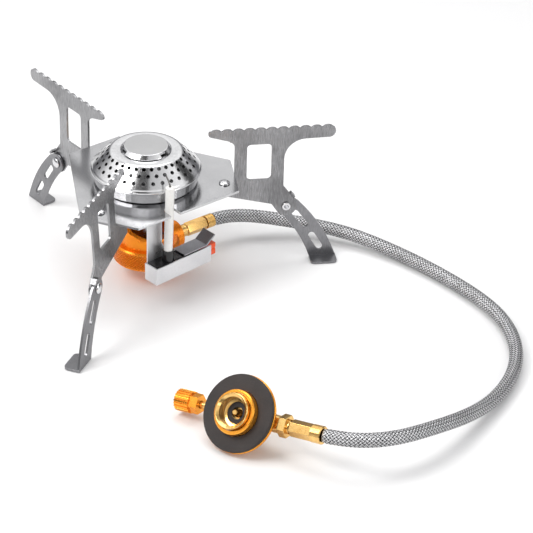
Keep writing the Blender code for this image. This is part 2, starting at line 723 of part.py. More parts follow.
def make_piezo():
    place = igniter_frame()
    inset = box_sheet + gap
    body = add("piezo_body", block("body", (inset, inset, box_low + inset),
                                   (body_end, box_wide - inset, box_high + 0.4 * mm)),
               "black", place, smooth=False)
    way = block("button_way", (body_end - 8 * mm, box_wide / 2 - 3.0 * mm, button_z - 4.0 * mm),
                (body_end + 1 * mm, box_wide / 2 + 3.0 * mm, button_z + 4.0 * mm))
    shape(body, way)
    shape(body, boot_seat(), place=Matrix.Translation(electrode_foot(place)))

    low = box_high + 0.4 * mm + gap
    clip = [(clip_x, low), (box_long - 3.0 * mm, low), (box_long + 3.4 * mm, low + 4.6 * mm),
            (box_long + 2.7 * mm, low + 5.4 * mm), (box_long - 3.4 * mm, low + box_sheet),
            (clip_x, low + box_sheet)]
    mesh = prism("clip", clip, 0, box_wide - 0.6 * mm)
    mesh.transform(Matrix.Translation((0, box_wide - 0.3 * mm, 0)) @ upright)
    add("igniter_clip", mesh, "steel", place, smooth=False)


def make_button():
    """The button slides along the box. Its origin is on its own axis, at the body's end."""
    place = igniter_frame() @ Matrix.Translation((body_end, box_wide / 2, button_z))
    core = -2.2 * mm
    mesh = prism("cap", button_outline(2.7 * mm, 3.6 * mm), core, box_long + 5.4 * mm - body_end)
    mesh.transform(Matrix.Rotation(math.radians(90), 4, "Y") @ turn_z(math.radians(90)))
    add("igniter_button", mesh, "button", place, smooth=False)
    make_spring(place @ along_axis(gap - 8 * mm, 0, 0, (1, 0, 0)), core + 8 * mm - 2 * gap)


def make_electrode():
    at = electrode_frame()
    seat = gap - 1.6 * mm
    boot = [(electrode + running, seat + 1.0 * mm), (electrode + running, seat + 8.0 * mm),
            (electrode + boot_wall, seat + 8.0 * mm), (electrode + boot_wall, seat), (0, seat),
            (0, seat + 1.0 * mm)]
    add("electrode_boot", turned("boot", boot, 24), "black", at)
    low, top = seat + 1.0 * mm + gap, electrode_top - box_high
    wire_hole = 0.75 * mm
    ceramic = [(wire_hole, low), (electrode, low), (electrode, top - 0.6 * mm),
               (electrode - 0.6 * mm, top), (wire_hole, top)]
    add("electrode_tube", turned("ceramic", ceramic, 24), "ceramic", at)
    make_wire(at, low + 0.2 * mm, top + 1.2 * mm)


def button_outline(half_y, half_z):
    """A rectangle with a shallow groove down its two long sides."""
    groove = 0.7 * mm
    return [(half_y, -half_z), (half_y, -groove), (half_y - groove, 0), (half_y, groove),
            (half_y, half_z), (-half_y, half_z), (-half_y, groove), (-half_y + groove, 0),
            (-half_y, -groove), (-half_y, -half_z)]


def make_spring(place, length):
    """A closed coil spring along its own Z."""
    turns, thick, radius, around = 4, 0.28 * mm, 1.7 * mm, 6
    steps = turns * 12
    bm = bmesh.new()
    rings = []
    for k in range(steps + 1):
        angle = math.tau * turns * k / steps
        out = Vector((math.cos(angle), math.sin(angle), 0))
        middle = out * radius + Vector((0, 0, thick + (length - 2 * thick) * k / steps))
        ring = []
        for s in range(around):
            side = math.tau * s / around
            ring.append(bm.verts.new(middle + out * thick * math.cos(side)
                                     + Vector((0, 0, thick * math.sin(side)))))
        rings.append(ring)
    for one, two in zip(rings, rings[1:]):
        for s in range(around):
            n = (s + 1) % around
            bm.faces.new([one[s], one[n], two[n], two[s]])
    bm.faces.new(rings[0])
    bm.faces.new(rings[-1])
    add("button_spring", closed_mesh(bm, "spring"), "steel", place)


def make_wire(place, low, top):
    """The spark wire: up the ceramic, then bent over the cap."""
    inward = place.to_3x3().inverted() @ Vector((-place.translation.x, -place.translation.y, 0))
    inward.normalize()
    up = Vector((0, 0, 1))
    points = [up * low, up * (top - 1.0 * mm), up * top + inward * 1.0 * mm,
              up * (top + 1.2 * mm) + inward * 3.4 * mm, up * (top + 1.9 * mm) + inward * 6.4 * mm]
    curve = bpy.data.curves.new("electrode_wire", "CURVE")
    curve.dimensions = "3D"
    curve.bevel_depth = 0.45 * mm
    curve.bevel_resolution = 2
    curve.use_fill_caps = True
    line = curve.splines.new("POLY")
    line.points.add(len(points) - 1)
    for point, at in zip(line.points, points):
        point.co = (*at, 1)
    wire = bpy.data.objects.new("electrode_wire", curve)
    bpy.context.scene.collection.objects.link(wire)
    wire.parent = root
    wire.matrix_local = place
    curve.materials.append(material("electrode_wire", *finishes["steel"]))


# Canister valve, drawn with X along the spindle towards the hose and Z out of the coupling
def valve_frame():
    level = Matrix.Translation(valve_at) @ turn_z(valve_turn)
    rise = Matrix.Rotation(-valve_rise, 4, "Y")
    return level @ rise @ Matrix.Rotation(valve_tilt, 4, "X")


def make_valve():
    place = valve_frame()
    spindle = place @ along_axis(0, 0, 0, (1, 0, 0))
    core = [(0, -9.0 * mm), (valve_core, -9.0 * mm), (valve_core, valve_nut - 0.4 * mm),
            (valve_core - 0.6 * mm, valve_nut), (0, valve_nut)]
    body = add("valve_body", turned("core", core, 28), "brass", spindle)
    stand = spindle.inverted() @ place
    seat = flange_low - gap
    post = [(0, -3 * mm), (8.0 * mm, -3 * mm), (8.0 * mm, seat), (0, seat)]
    shape(body, turned("post", post, 32), "UNION", stand)
    shape(body, turned("coupling_way", [(0, 0.4 * mm), (1.7 * mm, 0.4 * mm), (1.7 * mm, seat + 1 * mm),
                                        (0, seat + 1 * mm)], 16), place=stand)
    shape(body, turned("spindle_way", [(0, -12 * mm), (stem + running, -12 * mm),
                                       (stem + running, -2 * mm), (1.3 * mm, 1.2 * mm), (0, 1.2 * mm)], 20))
    shape(body, turned("gas_way", [(0, -0.5 * mm), (1.1 * mm, -0.5 * mm), (1.1 * mm, 30 * mm),
                                   (0, 30 * mm)], 12))

    gland_low = -15.0 * mm
    gland = add("gland_nut", hexagon_band("gland", 4.8 * mm, gland_low, -9.0 * mm - gap, 0.4 * mm),
                "brass", spindle, smooth=False)
    shape(gland, turned("way", [(0, -20 * mm), (stem + running, -20 * mm), (stem + running, 0),
                                (0, 0)], 20))
    ring = [(stem + 0.35 * mm + 0.8 * mm * (1 + math.cos(a)), gland_low - 1.1 * mm + 0.8 * mm * math.sin(a))
            for a in (math.tau * k / 10 for k in range(10))]
    add("spindle_seal", turned("seal", ring, 24), "rubber", spindle)

    knob_low = knob_face - knob_long
    needle = [(0, knob_low + 2.2 * mm), (stem, knob_low + 2.2 * mm), (stem, -2.8 * mm),
              (0.5 * mm, 0.2 * mm), (0, 0.2 * mm)]
    add("needle_spindle", turned("needle", needle, 20), "brass", spindle)
    ribs = []
    count = 22
    for k in range(count):
        for share, radius in ((0.0, knob), (0.5, knob), (0.62, knob - 0.5 * mm), (0.88, knob - 0.5 * mm)):
            angle = math.tau * (k + share) / count
            ribs.append((radius * math.cos(angle), radius * math.sin(angle)))
    grip = add("flow_knob", prism("ribs", ribs, knob_low, knob_face - knob_hex),
               "orange", spindle, smooth=False)
    shape(grip, hexagon_band("collar", knob - 0.4 * mm, knob_face - knob_hex - 1 * mm, knob_face,
                             0.5 * mm), "UNION")
    shape(grip, turned("spindle_bore", [(0, knob_low + 2.0 * mm), (stem + 0.3 * mm, knob_low + 2.0 * mm),
                                        (stem + 0.3 * mm, 0), (0, 0)], 20))

    plate_low = flange_low
    plate_high = plate_low + flange_thick
    carrier = [(mouth + gap, plate_low), (flange, plate_low), (flange, plate_high - 0.3 * mm),
               (flange - 0.3 * mm, plate_high), (collar, plate_high), (collar, collar_high - 0.6 * mm),
               (collar - 0.6 * mm, collar_high), (mouth + gap, collar_high)]
    add("adapter_flange", turned("flange", carrier, 56), "orange", place)
    low = plate_high + gap
    rubber = [(collar + gap, low), (flange - 0.4 * mm, low), (flange - 0.2 * mm, low + 0.4 * mm),
              (flange - 0.2 * mm, low + gasket_thick - 0.5 * mm),
              (flange - 0.7 * mm, low + gasket_thick), (collar + gap, low + gasket_thick)]
    add("flange_gasket", turned("gasket", rubber, 56), "rubber", place)

    floor = flange_low + 2.2 * mm
    insert = [(2.4 * mm, flange_low), (mouth, flange_low), (mouth, mouth_high - 0.5 * mm),
              (mouth - 0.5 * mm, mouth_high), (mouth - 1.0 * mm, mouth_high), (bore, mouth_high - 2.4 * mm),
              (bore, floor + 2.6 * mm), (bore - 0.9 * mm, floor + 2.4 * mm), (bore - 0.9 * mm, floor),
              (2.4 * mm, floor)]
    add("coupling_insert", turned("insert", insert, 40), "brass", place)
    seal_low = floor + gap
    seal = [(3.3 * mm, seal_low), (bore - 0.9 * mm - gap, seal_low),
            (bore - 0.9 * mm - gap, seal_low + 1.6 * mm), (3.3 * mm, seal_low + 1.6 * mm)]
    add("coupling_seal", turned("seal", seal, 32), "rubber", place)
    pin = [(0, 1.4 * mm), (1.1 * mm, 1.4 * mm), (1.1 * mm, flange_low + 0.3 * mm),
           (2.1 * mm, flange_low + 0.3 * mm), (2.1 * mm, floor + 1.0 * mm), (1.5 * mm, floor + 1.6 * mm),
           (1.5 * mm, floor + 4.4 * mm), (1.1 * mm, floor + 4.8 * mm), (0, floor + 4.8 * mm)]
    add("coupling_pin", turned("pin", pin, 18), "brass", place)

    nut = add("outlet_nut", hexagon_band("nut", 6.2 * mm, valve_nut + gap, valve_nut + 5.0 * mm, 0.5 * mm),
              "brass", spindle, smooth=False)
    shape(nut, turned("neck", [(0, valve_nut + 4 * mm), (3.9 * mm, valve_nut + 4 * mm),
                               (3.9 * mm, valve_barrel - gap), (0, valve_barrel - gap)], 24), "UNION")
    shape(nut, turned("way", [(0, 0), (1.1 * mm, 0), (1.1 * mm, 50 * mm), (0, 50 * mm)], 12))
    crimp = add("outlet_crimp", hexagon_band("flats", valve_collar - 0.2 * mm, valve_barrel, valve_sleeve, 0.5 * mm),
                "brass", spindle, smooth=False)
    shape(crimp, turned("way", [(0, 0), (1.6 * mm, 0), (1.6 * mm, 60 * mm), (0, 60 * mm)], 12))
    sleeve = [(1.6 * mm, valve_sleeve + gap), (valve_collar, valve_sleeve + gap),
              (valve_collar, valve_end - gap - 0.4 * mm), (valve_collar - 0.4 * mm, valve_end - gap),
              (1.6 * mm, valve_end - gap)]
    add("outlet_sleeve", turned("sleeve", sleeve, 28), "brass", spindle)


# Screws that hold the cup's two ears up to the plate
def make_screws():
    head_low = plate_top - 0.8 * mm + gap
    end = plate_top - plate_thick - gap - 6.0 * mm
    for label, along in (("front", -1), ("back", 1)):
        profile = [(0, end), (screw, end), (screw, head_low), (screw_head, head_low),
                   (screw_head, plate_top - 0.05 * mm), (0, plate_top - 0.05 * mm)]
        place = feed_frame() @ Matrix.Translation((along * cup_screw_at(), 0, 0))
        add(f"{label}_cup_screw", turned("screw", profile, 14), "burner_steel", place)


make_plate()
for label, arm in (("right", 0), ("left", 1), ("front", 2)):
    held = make_support(f"{label}_support", arm)
    make_leg(f"{label}_leg", arm, held)
    make_rivets(label, arm, held)
make_burner()
make_cup()
make_jet()
make_inlet_fitting()
make_screws()
make_igniter_box()
make_piezo()
make_button()
make_electrode()
make_valve()
make_hose()
bpy.context.view_layer.update()
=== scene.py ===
import bpy
import json
import math
from math import cos, pi, radians, sin, tau
from mathutils import Matrix, Vector


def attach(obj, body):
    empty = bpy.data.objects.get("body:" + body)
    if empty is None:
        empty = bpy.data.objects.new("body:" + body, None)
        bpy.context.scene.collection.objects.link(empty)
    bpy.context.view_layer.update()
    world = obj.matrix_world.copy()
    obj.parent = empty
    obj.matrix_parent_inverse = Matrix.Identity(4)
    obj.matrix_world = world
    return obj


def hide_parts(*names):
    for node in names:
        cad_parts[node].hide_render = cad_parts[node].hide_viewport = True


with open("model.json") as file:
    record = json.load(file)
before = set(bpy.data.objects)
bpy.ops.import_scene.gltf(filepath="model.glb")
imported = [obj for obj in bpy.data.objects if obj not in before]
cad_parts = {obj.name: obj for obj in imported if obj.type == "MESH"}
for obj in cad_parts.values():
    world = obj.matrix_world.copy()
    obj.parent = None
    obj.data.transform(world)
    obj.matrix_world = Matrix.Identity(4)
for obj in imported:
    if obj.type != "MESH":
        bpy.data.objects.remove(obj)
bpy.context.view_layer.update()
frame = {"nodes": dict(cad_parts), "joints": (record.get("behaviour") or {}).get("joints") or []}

scene = bpy.context.scene
mm = 0.001
burnerAxis = Vector((-0.017209, 0.009923, 0))   # the middle of the cap, on the ground
feedTurn = radians(39.5)   # the way the hose leaves the cup


# where the view stands, and what lights it
viewSet = {"place": (0.05136, -1.2432, 0.7773), "elevation": 31.647, "roll": 1.601, "lens": 174.65,
           "sensor": 36, "farthest": 20}
lightSet = {
    # name: (place, aim, width, height, watts, colour)
    "highLeft": ((-0.55, -0.25, 0.85), (0, 0, 0.04), 0.5, 0.5, 5.5, (1.0, 0.99, 0.98)),
    "wideTop": ((0.05, 0.25, 1.0), (0, 0, 0.0), 0.8, 0.6, 4.0, (1.0, 1.0, 1.0)),
    "lowRight": ((0.7, -0.35, 0.35), (0.02, 0, 0.05), 0.22, 0.5, 1.2, (1.0, 1.0, 1.0)),
    "frontStrip": ((-0.1, -0.95, 0.35), (0, 0, 0.05), 0.7, 0.1, 0.8, (1.0, 1.0, 1.0)),
}

# what the polished steel mirrors, from the horizon (0) up to straight overhead (1)
roomSet = {"plain": 0.55, "ramp": [(0.0, (0.16, 0.16, 0.17, 1)), (0.12, (0.10, 0.10, 0.11, 1)),
                                   (0.34, (0.50, 0.50, 0.51, 1)), (0.5, (1.15, 1.15, 1.15, 1)),
                                   (0.66, (1.1, 1.1, 1.1, 1)), (0.9, (0.5, 0.5, 0.51, 1))]}
floorSet = {"size": 6, "drop": 0.0002, "colour": (0.9, 0.9, 0.905, 1), "rough": 0.55}
cardSet = {
    # dark cards that only the polished steel sees: (place, aim, size)
    "cardLeft": ((-0.75, -0.3, 0.16), (0, 0, 0.07), (0.5, 0.22)),
    "cardRight": ((0.62, 0.25, 0.3), (0, 0, 0.06), (0.25, 0.5)),
    "cardOver": ((-0.08, -0.36, 0.67), (0, 0, 0.07), (0.30, 0.22)),
}
cardBlack = (0.01, 0.01, 0.01, 1)


def deselect():
    bpy.ops.object.select_all(action="DESELECT")


def aimed(place, aim, front):
    # the turn that points an object's front axis from its place towards its aim
    return (Vector(aim) - Vector(place)).to_track_quat(front, "Y").to_euler()


def plainMaterial(name, colour, rough):
    made = bpy.data.materials.new(name)
    made.use_nodes = True
    shader = made.node_tree.nodes["Principled BSDF"]
    shader.inputs["Base Color"].default_value = colour
    shader.inputs["Roughness"].default_value = rough
    return made


def addCamera():
    data = bpy.data.cameras.new("view")
    data.lens, data.sensor_width, data.clip_end = viewSet["lens"], viewSet["sensor"], viewSet["farthest"]
    camera = bpy.data.objects.new("view", data)
    scene.collection.objects.link(camera)
    up, roll = radians(viewSet["elevation"]), radians(viewSet["roll"])
    side, over = Vector((1, 0, 0)), Vector((0, sin(up), cos(up)))
    x = side * cos(roll) + over * sin(roll)
    y = over * cos(roll) - side * sin(roll)
    z = Vector((0, -cos(up), sin(up)))
    turn = Matrix((x, y, z)).transposed().to_4x4()
    camera.matrix_world = Matrix.Translation(viewSet["place"]) @ turn
    scene.camera = camera


def addFloor():
    deselect()
    bpy.ops.mesh.primitive_plane_add(size=floorSet["size"], location=(0, 0, -floorSet["drop"]))
    floor = bpy.context.object
    floor.name = "floor"
    floor.data.materials.append(plainMaterial("paleFloor", floorSet["colour"], floorSet["rough"]))


def addRoom():
    # pale for the camera and for soft light, and with darker sides for the polished steel
    world = bpy.data.worlds.new("paleRoom")
    scene.world = world
    world.use_nodes = True
    tree = world.node_tree
    plain = tree.nodes["Background"]
    plain.inputs["Color"].default_value = (1, 1, 1, 1)
    plain.inputs["Strength"].default_value = roomSet["plain"]
    height = tree.nodes.new("ShaderNodeSeparateXYZ")
    tree.links.new(tree.nodes.new("ShaderNodeTexCoord").outputs["Generated"], height.inputs[0])
    ramp = tree.nodes.new("ShaderNodeValToRGB")
    tree.links.new(height.outputs["Z"], ramp.inputs["Fac"])
    stops = ramp.color_ramp.elements
    stops[0].position, stops[0].color = roomSet["ramp"][0]
    stops[1].position, stops[1].color = roomSet["ramp"][-1]
    for position, colour in roomSet["ramp"][1:-1]:
        stops.new(position).color = colour
    sides = tree.nodes.new("ShaderNodeBackground")
    tree.links.new(ramp.outputs["Color"], sides.inputs["Color"])
    ray = tree.nodes.new("ShaderNodeLightPath")
    either = tree.nodes.new("ShaderNodeMixShader")
    tree.links.new(ray.outputs["Is Glossy Ray"], either.inputs["Fac"])
    tree.links.new(plain.outputs[0], either.inputs[1])
    tree.links.new(sides.outputs[0], either.inputs[2])
    tree.links.new(either.outputs[0], tree.nodes["World Output"].inputs["Surface"])


def addLights():
    for name, (place, aim, width, height, watts, colour) in lightSet.items():
        data = bpy.data.lights.new(name, "AREA")
        data.shape, data.size, data.size_y = "RECTANGLE", width, height
        data.energy, data.color = watts, colour
        light = bpy.data.objects.new(name, data)
        scene.collection.objects.link(light)
        light.location = place
        light.rotation_euler = aimed(place, aim, "-Z")
        light.visible_camera = False


def addCards():
    for name, (place, aim, size) in cardSet.items():
        deselect()
        bpy.ops.mesh.primitive_plane_add(size=1)
        card = bpy.context.object
        card.name = name
        card.scale = (*size, 1)
        card.location = place
        card.rotation_euler = aimed(place, aim, "Z")
        card.data.materials.append(plainMaterial(name, cardBlack, 1.0))
        card.visible_camera = card.visible_diffuse = card.visible_shadow = False


addCamera()
addFloor()
addRoom()
addLights()
addCards()
scene.view_settings.view_transform = "Standard"
print("view, floor and light are in place")


def newGroup(name, inputs, outputs):
    # an empty node group with its sockets, which each material places with its own values
    group = bpy.data.node_groups.new(name, "ShaderNodeTree")
    for label, kind, value in inputs:
        socket = group.interface.new_socket(label, in_out="INPUT", socket_type=kind)
        if value is not None:
            socket.default_value = value
    for label, kind in outputs:
        group.interface.new_socket(label, in_out="OUTPUT", socket_type=kind)
    return group, group.nodes.new("NodeGroupInput"), group.nodes.new("NodeGroupOutput")


def addNode(tree, kind, links=None, **settings):
    # each entry of links is another node's socket or a plain value
    node = tree.nodes.new(kind)
    for key, value in settings.items():
        setattr(node, key, value)
    for key, value in (links or {}).items():
        socket = node.inputs[key]
        if isinstance(value, bpy.types.NodeSocket):
            tree.links.new(value, socket)
        else:
            socket.default_value = value
    return node


def mathNode(tree, operation, *values):
    return addNode(tree, "ShaderNodeMath", dict(enumerate(values)), operation=operation).outputs[0]


grainSet = {"scale": 60.0, "detail": 3.0, "rough": 0.6, "stretch": (60.0, 60.0, 3.0),
            "smudge": 60.0, "smudgeDetail": 4.0, "smudgeRough": 0.55}
speckSet = {"scale": 900.0, "share": 0.16, "patches": 150.0, "few": 0.55}


def makeGrainGroup():
    # long fine scratches along one axis, with broad smudges over them
    group, given, out = newGroup(
        "steelGrain",
        [("Vector", "NodeSocketVector", None), ("Stretch", "NodeSocketVector", grainSet["stretch"]),
         ("Smudge", "NodeSocketFloat", grainSet["smudge"])],
        [("Grain", "NodeSocketFloat"), ("Smudges", "NodeSocketFloat")])
    scaled = addNode(group, "ShaderNodeVectorMath",
                     {0: given.outputs["Vector"], 1: given.outputs["Stretch"]}, operation="MULTIPLY")
    fine = addNode(group, "ShaderNodeTexNoise", {
        "Vector": scaled.outputs[0], "Scale": grainSet["scale"],
        "Detail": grainSet["detail"], "Roughness": grainSet["rough"]})
    broad = addNode(group, "ShaderNodeTexNoise", {
        "Vector": given.outputs["Vector"], "Scale": given.outputs["Smudge"],
        "Detail": grainSet["smudgeDetail"], "Roughness": grainSet["smudgeRough"]})
    group.links.new(fine.outputs["Fac"], out.inputs["Grain"])
    group.links.new(broad.outputs["Fac"], out.inputs["Smudges"])
    return group


def makeSpeckGroup():
    # small scattered dots of dust or casting grain
    group, given, out = newGroup(
        "fineSpecks",
        [("Vector", "NodeSocketVector", None), ("Scale", "NodeSocketFloat", speckSet["scale"]),
         ("Share", "NodeSocketFloat", speckSet["share"])],
        [("Mask", "NodeSocketFloat")])
    cells = addNode(group, "ShaderNodeTexVoronoi", {"Vector": given.outputs["Vector"],
                                                    "Scale": given.outputs["Scale"]})
    near = mathNode(group, "LESS_THAN", cells.outputs["Distance"], given.outputs["Share"])
    patches = addNode(group, "ShaderNodeTexNoise", {"Vector": given.outputs["Vector"],
                                                    "Scale": speckSet["patches"]})
    few = mathNode(group, "GREATER_THAN", patches.outputs["Fac"], speckSet["few"])
    both = mathNode(group, "MULTIPLY", near, few)
    group.links.new(both, out.inputs["Mask"])
    return group


grainGroup, speckGroup = makeGrainGroup(), makeSpeckGroup()


finishes = {
    # name: (colour, darker colour, metallic, roughness low and high, stretch, bump)
    "plateSteel": ((0.60, 0.60, 0.61), (0.47, 0.47, 0.48), 1.0, (0.13, 0.24), (60, 60, 3), 0.08),
    "supportSteel": ((0.44, 0.44, 0.45), (0.17, 0.17, 0.175), 1.0, (0.22, 0.34), (60, 60, 4), 0.10),
    "legSteel": ((0.30, 0.30, 0.31), (0.19, 0.19, 0.20), 1.0, (0.24, 0.38), (50, 50, 5), 0.12),
    "rivetSteel": ((0.82, 0.82, 0.83), (0.62, 0.62, 0.64), 1.0, (0.12, 0.24), (30, 30, 30), 0.05),
    "capSteel": ((0.80, 0.80, 0.81), (0.68, 0.68, 0.69), 1.0, (0.13, 0.22), (14, 14, 50), 0.06),
    # near black: painted shade for the walls of the cap's ports and its underside
    "portShadeSteel": ((0.05, 0.05, 0.05), (0.03, 0.03, 0.03), 0.6, (0.45, 0.60), (30, 30, 30), 0.10),
    "discSteel": ((0.43, 0.43, 0.435), (0.39, 0.39, 0.395), 0.2, (0.50, 0.60), (60, 60, 6), 0.10),
    "tubeSteel": ((0.60, 0.60, 0.62), (0.42, 0.42, 0.44), 1.0, (0.18, 0.32), (4, 4, 60), 0.10),
    "trayAlloy": ((0.74, 0.74, 0.75), (0.62, 0.62, 0.64), 0.85, (0.26, 0.38), (8, 60, 60), 0.08),
    "clipSteel": ((0.42, 0.42, 0.44), (0.30, 0.30, 0.32), 1.0, (0.26, 0.40), (60, 5, 60), 0.12),
    "wireSteel": ((0.17, 0.165, 0.16), (0.10, 0.095, 0.09), 1.0, (0.28, 0.42), (40, 40, 6), 0.10),
    "orangeAnodised": ((1.0, 0.31, 0.006), (0.88, 0.22, 0.004), 0.55, (0.20, 0.32), (4, 4, 4), 0.03),
    "flangeAnodised": ((1.0, 0.43, 0.05), (0.88, 0.33, 0.03), 0.80, (0.18, 0.28), (4, 4, 4), 0.03),
    "brightBrass": ((0.92, 0.60, 0.22), (0.70, 0.40, 0.12), 1.0, (0.16, 0.28), (8, 8, 8), 0.04),
    # darker brass: painted shade for the roots of the thread
    "shadedBrass": ((0.36, 0.20, 0.07), (0.24, 0.13, 0.04), 1.0, (0.30, 0.42), (8, 8, 8), 0.04),
    "blackRubber": ((0.030, 0.022, 0.020), (0.018, 0.014, 0.013), 0.0, (0.52, 0.66), (30, 30, 30), 0.25),
    "blackPlastic": ((0.012, 0.012, 0.013), (0.006, 0.006, 0.007), 0.0, (0.16, 0.28), (20, 20, 20), 0.05),
    "redPlastic": ((0.95, 0.105, 0.010), (0.84, 0.075, 0.007), 0.0, (0.30, 0.42), (20, 20, 20), 0.06),
    "whiteCeramic": ((0.90, 0.89, 0.87), (0.80, 0.79, 0.76), 0.0, (0.14, 0.26), (20, 20, 20), 0.04),
}
broadPatches = {"supportSteel": 20.0, "legSteel": 26.0, "plateSteel": 30.0}   # smudges on the large sheets
mixSet = {"grain": 0.45, "smudges": 0.55, "between": (0.36, 0.64), "specks": 0.10, "speckTone": 0.6,
          "scratchDepth": 0.0002}
finished = {}


def finish(name):
    # colour and shine drift between two values with the grain and the smudges
    if name in finished:
        return finished[name]
    colour, darker, metallic, rough, stretch, bump = finishes[name]
    made = bpy.data.materials.new(name)
    made.use_nodes = True
    tree = made.node_tree
    shader = tree.nodes["Principled BSDF"]
    place = addNode(tree, "ShaderNodeTexCoord").outputs["Object"]
    grain = addNode(tree, "ShaderNodeGroup", node_tree=grainGroup)
    tree.links.new(place, grain.inputs["Vector"])
    grain.inputs["Stretch"].default_value = stretch
    grain.inputs["Smudge"].default_value = broadPatches.get(name, grainSet["smudge"])
    specks = addNode(tree, "ShaderNodeGroup", node_tree=speckGroup)
    tree.links.new(place, specks.inputs["Vector"])
    both = mathNode(tree, "ADD", mathNode(tree, "MULTIPLY", grain.outputs["Grain"], mixSet["grain"]),
                    mathNode(tree, "MULTIPLY", grain.outputs["Smudges"], mixSet["smudges"]))
    low, high = mixSet["between"]
    spread = addNode(tree, "ShaderNodeMapRange", {"Value": both, "From Min": low, "From Max": high})
    tint = addNode(tree, "ShaderNodeMix", data_type="RGBA")
    tree.links.new(spread.outputs[0], tint.inputs["Factor"])
    tint.inputs["A"].default_value = (*darker, 1)
    tint.inputs["B"].default_value = (*colour, 1)
    dusty = addNode(tree, "ShaderNodeMix", data_type="RGBA")
    dust = mathNode(tree, "MULTIPLY", specks.outputs["Mask"], mixSet["specks"])
    tree.links.new(dust, dusty.inputs["Factor"])
    tree.links.new(tint.outputs["Result"], dusty.inputs["A"])
    dusty.inputs["B"].default_value = (*[c * mixSet["speckTone"] for c in darker], 1)
    tree.links.new(dusty.outputs["Result"], shader.inputs["Base Color"])
    shine = addNode(tree, "ShaderNodeMapRange", {"Value": both, "From Min": low, "From Max": high,
                                                 "To Min": rough[1], "To Max": rough[0]})
    tree.links.new(shine.outputs[0], shader.inputs["Roughness"])
    shader.inputs["Metallic"].default_value = metallic
    relief = addNode(tree, "ShaderNodeBump", {"Height": grain.outputs["Grain"], "Strength": bump,
                                              "Distance": mixSet["scratchDepth"]})
    tree.links.new(relief.outputs["Normal"], shader.inputs["Normal"])
    finished[name] = made
    return made


# the route's points are spaced in diameters, and its ends have no weave for the length of plainEnd
hoseSet = {"diameter": 7.8 * mm, "strands": 12, "perTurn": 24.5 * mm, "relief": 0.45 * mm,
           "around": 72, "step": 0.42 * mm, "plainEnd": 2 * mm, "sunk": 0.3,
           "knotShares": 24, "spacing": 0.75, "smoothings": 4, "pointShares": 20, "pathEvery": 6}
# shade sets the painted highlight and shade across each wire, and gapShade the painted shade in the gaps
# between strands
braidSet = {"wires": 5, "gap": 0.29, "gapShade": 0.96, "shade": (0.34, 0.95), "smudge": (0.5, 0.72),
            "blue": 1.02, "rough": (0.2, 0.42), "bump": 0.5, "wireDepth": 0.00006}
# the hose's route, from the cup to the canister valve
hoseKnots = (
    (0.019520, 0.040200, 0.0172), (0.023379, 0.043381, 0.0172),
    (0.029991, 0.047223, 0.0165), (0.043291, 0.051323, 0.0139), (0.057291, 0.052623, 0.0113),
    (0.071391, 0.051823, 0.0096), (0.084691, 0.049523, 0.0086), (0.098691, 0.045123, 0.0075),
    (0.111991, 0.038523, 0.0061), (0.125691, 0.029623, 0.0050), (0.139191, 0.018623, 0.0045),
    (0.151791, 0.006223, 0.0043), (0.164691, -0.008177, 0.0043), (0.176691, -0.024677, 0.0043),
    (0.183791, -0.039777, 0.0043), (0.187891, -0.057377, 0.0043), (0.188491, -0.073277, 0.0043),
    (0.185091, -0.091777, 0.0043), (0.178091, -0.108777, 0.0045), (0.168491, -0.125177, 0.0061),
    (0.154691, -0.143677, 0.0108), (0.137491, -0.163077, 0.0173), (0.119091, -0.177477, 0.0209),
    (0.101291, -0.181777, 0.0215), (0.087080, -0.178027, 0.020407), (0.082881, -0.175403, 0.019711))


def betweenKnots(knots, shares):
    # a smooth curve through every knot
    ends = [knots[0] * 2 - knots[1]] + list(knots) + [knots[-1] * 2 - knots[-2]]
    fine = []
    for a, b, c, d in zip(ends, ends[1:], ends[2:], ends[3:]):
        for k in range(shares):
            t = k / shares
            fine.append(0.5 * (2 * b + (c - a) * t + (2 * a - 5 * b + 4 * c - d) * t * t
                               + (3 * b - a - 3 * c + d) * t ** 3))
    fine.append(knots[-1])
    return fine


def evenly(fine, step):
    # points at equal steps along the curve, and its length
    length = sum((b - a).length for a, b in zip(fine, fine[1:]))
    count = max(2, round(length / step))
    route, walked, target = [fine[0]], 0.0, length / count
    for a, b in zip(fine, fine[1:]):
        piece = (b - a).length
        while len(route) < count and walked + piece >= target * len(route):
            route.append(a.lerp(b, (target * len(route) - walked) / piece))
        walked += piece
    route.append(fine[-1])
    return route, length


def hoseLine():
    knots = [Vector(p) for p in hoseKnots]
    route, _ = evenly(betweenKnots(knots, hoseSet["knotShares"]), hoseSet["diameter"] * hoseSet["spacing"])
    for _ in range(hoseSet["smoothings"]):
        route[1:-1] = [(a + b * 2 + c) / 4 for a, b, c in zip(route, route[1:-1], route[2:])]
    return evenly(betweenKnots(route, hoseSet["pointShares"]), hoseSet["step"])


